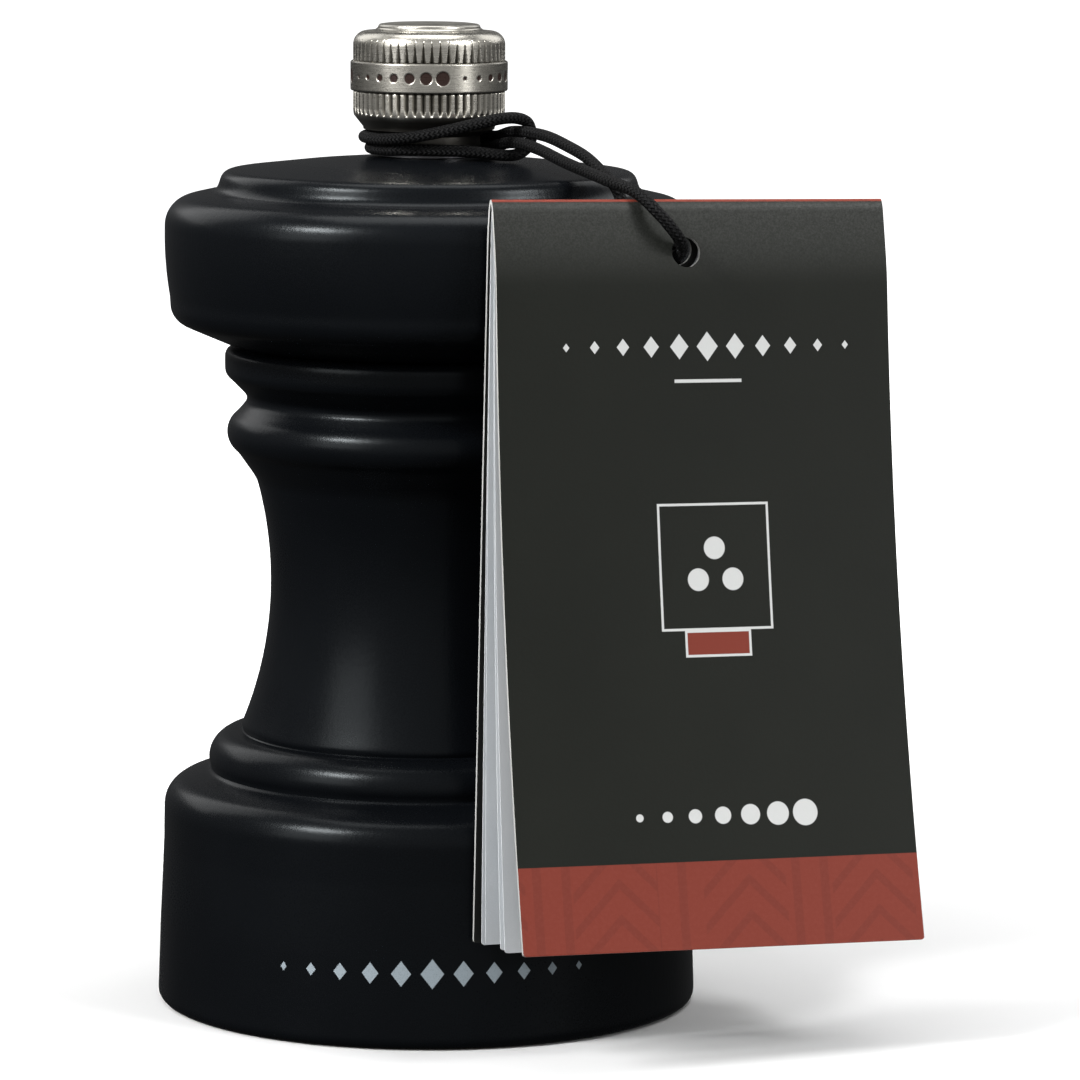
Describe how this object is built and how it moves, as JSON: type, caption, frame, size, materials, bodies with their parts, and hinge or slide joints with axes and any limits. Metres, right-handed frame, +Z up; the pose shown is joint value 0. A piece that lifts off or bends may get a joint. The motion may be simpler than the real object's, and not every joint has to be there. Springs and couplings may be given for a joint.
{
  "type": "pepper mill",
  "caption": "Turned black wooden pepper mill with a mushroom head, a waisted body, a fluted metal adjusting knob and a folded card tag on an elastic cord.",
  "frame": {"origin": "centre of the foot, on the surface that the mill stands on", "axes": "+Z up the spindle, towards the adjusting knob; -Y towards the front; +X to the right"},
  "size_m": [0.0799, 0.0718, 0.104],
  "materials": {
    "painted_wood": "satin black paint over turned wood",
    "nickel": "satin nickel plate",
    "nickel_cap": "satin nickel plate",
    "brass_insert": "machined",
    "steel": "zinc-plated",
    "shaft_aluminium": "drawn",
    "hardened_steel": "hardened and oiled",
    "white_plastic": "acetal",
    "black_plastic": "moulded",
    "cover_card": "printed card with a soft sheen",
    "leaf_paper": "coated white paper",
    "elastic_cord": "braided elastic"
  },
  "bodies": {
    "mill_body": {"body": "painted_wood", "mechanism_housing": "black_plastic", "stator": "hardened_steel", "stator_retainer": "black_plastic", "housing_screws": "steel"},
    "carrier": {"spindle_bush": "white_plastic", "spring": "steel"},
    "spindle": {"shaft": "shaft_aluminium", "rotor": "hardened_steel", "rotor_washer": "steel", "circlip": "hardened_steel"},
    "mill_head": {"head": "painted_wood", "drive_plate": "steel", "drive_plate_screws": "steel"},
    "knob": {"knob_body": "nickel", "knob_cap": "nickel_cap", "knob_nut": "brass_insert", "knob_washer": "steel"},
    "tag": {"tag_cover": "cover_card", "tag_leaves": "leaf_paper", "tag_cord": "elastic_cord", "cord_knot": "elastic_cord"}
  },
  "joints": [
    {"name": "head_turn", "type": "hinge", "parent": "mill_body", "child": "carrier", "pos_m": [0, 0, 0.0697], "axis": [0, 0, 1], "continuous": true},
    {"name": "head_lift", "type": "slide", "parent": "carrier", "child": "mill_head", "axis": [0, 0, 1], "range_m": [0, 0.04]},
    {"name": "knob_turn", "type": "hinge", "parent": "mill_head", "child": "knob", "pos_m": [0, 0, 0.0904], "axis": [0, 0, 1], "range_deg": [-720, 0]},
    {"name": "spindle_lift", "type": "slide", "parent": "carrier", "child": "spindle", "axis": [0, 0, 1], "range_m": [0, 0.0016], "deforming": ["spring"]},
    {"name": "tag_round_knob", "type": "hinge", "parent": "mill_head", "child": "tag", "pos_m": [0, 0, 0.091], "axis": [0, 0, 1], "continuous": true}
  ],
  "couplings": [
    {"joint": "knob_turn", "follows": "spindle_lift", "rad_per_m": -7854}
  ]
}
